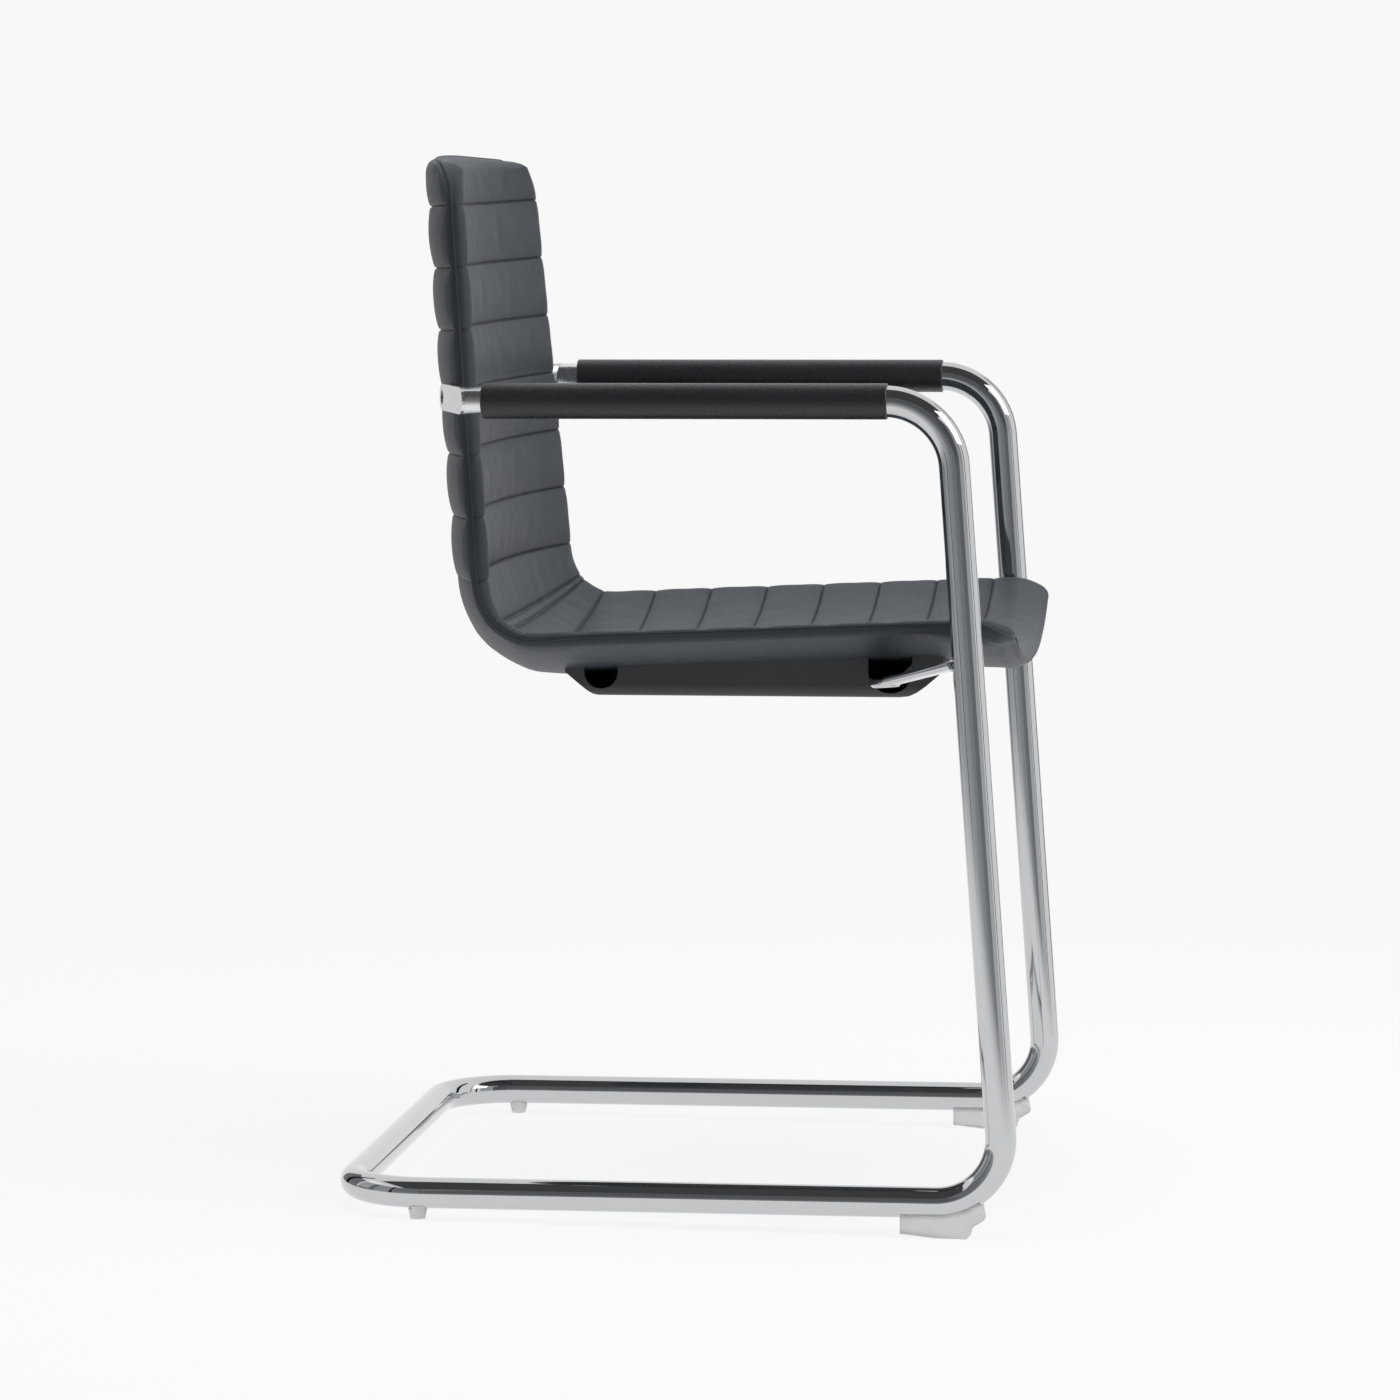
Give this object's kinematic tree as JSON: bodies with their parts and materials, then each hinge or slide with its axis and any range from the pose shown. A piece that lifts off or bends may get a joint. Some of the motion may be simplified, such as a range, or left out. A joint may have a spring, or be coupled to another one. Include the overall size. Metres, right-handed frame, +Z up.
{
  "type": "cantilever armchair",
  "caption": "Cantilever armchair: a bent chrome tube carries a dished seat shell with channel-stitched padding, covered arm sleeves and glides under the floor loop.",
  "frame": {"origin": "on the floor, at the middle of the chair's outline seen from above", "axes": "+Z up, -Y to the front where the sitter faces, +X to the sitter's left"},
  "size_m": [0.5486, 0.5584, 0.8601],
  "materials": {
    "chrome_tube": "polished chrome plating on steel tube",
    "chrome_bar": "polished chrome plating on flat steel",
    "arm_cover": "dark grey leatherette sleeve, satin",
    "pad_cover": "charcoal grey leatherette over foam, satin grain",
    "piping": "leatherette welt cord, satin",
    "moulded_ply": "moulded plywood, raw inside the padding",
    "cover_plastic": "dark grey fine-textured plastic",
    "fastener_steel": "zinc-plated steel",
    "glide_plastic": "milky translucent nylon"
  },
  "bodies": {
    "root": {"frame_floor_loop": "chrome_tube", "frame_leg_right": "chrome_tube", "frame_leg_left": "chrome_tube", "frame_arm_right": "chrome_tube", "frame_arm_left": "chrome_tube", "seat_crossbar": "chrome_bar", "arm_sleeve_right": "arm_cover", "arm_sleeve_left": "arm_cover", "arm_bracket_right": "chrome_bar", "arm_bracket_left": "chrome_bar", "arm_bolts": "fastener_steel", "arm_tnuts": "fastener_steel", "seat_shell": "moulded_ply", "front_pad": "pad_cover", "rear_pad": "pad_cover", "edge_piping": "piping", "underseat_cover": "cover_plastic", "cover_screws": "fastener_steel", "seat_bolts": "fastener_steel", "seat_tnuts": "fastener_steel", "front_glide_right": "glide_plastic", "front_glide_left": "glide_plastic", "rear_glide_right": "glide_plastic", "rear_glide_left": "glide_plastic"}
  },
  "joints": []
}
